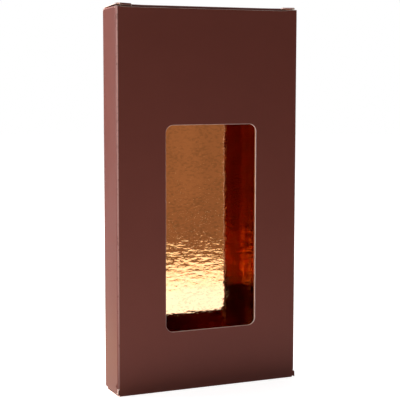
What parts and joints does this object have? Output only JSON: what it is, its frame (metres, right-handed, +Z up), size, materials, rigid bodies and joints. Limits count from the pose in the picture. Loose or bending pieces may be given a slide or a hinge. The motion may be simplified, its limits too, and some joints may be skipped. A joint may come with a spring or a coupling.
{
  "type": "chocolate bar sleeve",
  "caption": "Slim upright folding carton for a chocolate bar, brown outside and gold foil inside, with a tall window in the front and tuck-in flaps closing both ends.",
  "frame": {"origin": "centre of the base, on the outer face of the bottom closure", "axes": "+Z up along the carton's height, -Y out of the front panel with the window, +X to the right seen from the front"},
  "size_m": [0.0826, 0.016, 0.161],
  "materials": {
    "paperboard": "satin",
    "foil": "gloss"
  },
  "bodies": {
    "sleeve": {"front_panel": "paperboard", "front_panel_foil": "foil", "back_panel": "paperboard", "back_panel_foil": "foil", "left_side_panel": "paperboard", "left_side_panel_foil": "foil", "right_side_panel": "paperboard", "right_side_panel_foil": "foil", "glue_flap": "paperboard", "glue_flap_foil": "foil"},
    "top_closure": {"top_closure_panel": "paperboard", "top_closure_panel_foil": "foil"},
    "top_tuck": {"top_tuck_flap": "paperboard", "top_tuck_flap_foil": "foil"},
    "top_left_dust": {"top_left_dust_flap": "paperboard", "top_left_dust_flap_foil": "foil"},
    "top_right_dust": {"top_right_dust_flap": "paperboard", "top_right_dust_flap_foil": "foil"},
    "bottom_closure": {"bottom_closure_panel": "paperboard", "bottom_closure_panel_foil": "foil"},
    "bottom_tuck": {"bottom_tuck_flap": "paperboard", "bottom_tuck_flap_foil": "foil"},
    "bottom_left_dust": {"bottom_left_dust_flap": "paperboard", "bottom_left_dust_flap_foil": "foil"},
    "bottom_right_dust": {"bottom_right_dust_flap": "paperboard", "bottom_right_dust_flap_foil": "foil"}
  },
  "joints": [
    {"name": "top_closure_hinge", "type": "hinge", "parent": "sleeve", "child": "top_closure", "pos_m": [0, 0.00778, 0.16078], "axis": [-1, 0, 0], "range_deg": [0, 115]},
    {"name": "top_tuck_crease", "type": "hinge", "parent": "top_closure", "child": "top_tuck", "pos_m": [0, -0.00605, 0.16025], "axis": [1, 0, 0], "range_deg": [0, 75]},
    {"name": "top_left_dust_crease", "type": "hinge", "parent": "sleeve", "child": "top_left_dust", "pos_m": [-0.0405, 0, 0.1594], "axis": [0, 1, 0], "range_deg": [0, 80]},
    {"name": "top_right_dust_crease", "type": "hinge", "parent": "sleeve", "child": "top_right_dust", "pos_m": [0.0405, 0, 0.1594], "axis": [0, -1, 0], "range_deg": [0, 80]},
    {"name": "bottom_closure_hinge", "type": "hinge", "parent": "sleeve", "child": "bottom_closure", "pos_m": [0, -0.00778, 0.00022], "axis": [-1, 0, 0], "range_deg": [0, 115]},
    {"name": "bottom_tuck_crease", "type": "hinge", "parent": "bottom_closure", "child": "bottom_tuck", "pos_m": [0, 0.00605, 0.00075], "axis": [1, 0, 0], "range_deg": [0, 75]},
    {"name": "bottom_left_dust_crease", "type": "hinge", "parent": "sleeve", "child": "bottom_left_dust", "pos_m": [-0.0405, 0, 0.0016], "axis": [0, -1, 0], "range_deg": [0, 80]},
    {"name": "bottom_right_dust_crease", "type": "hinge", "parent": "sleeve", "child": "bottom_right_dust", "pos_m": [0.0405, 0, 0.0016], "axis": [0, 1, 0], "range_deg": [0, 80]}
  ],
  "couplings": [
    {"joint": "top_tuck_crease", "follows": "top_closure_hinge", "ratio": 0.65},
    {"joint": "bottom_tuck_crease", "follows": "bottom_closure_hinge", "ratio": 0.65}
  ]
}
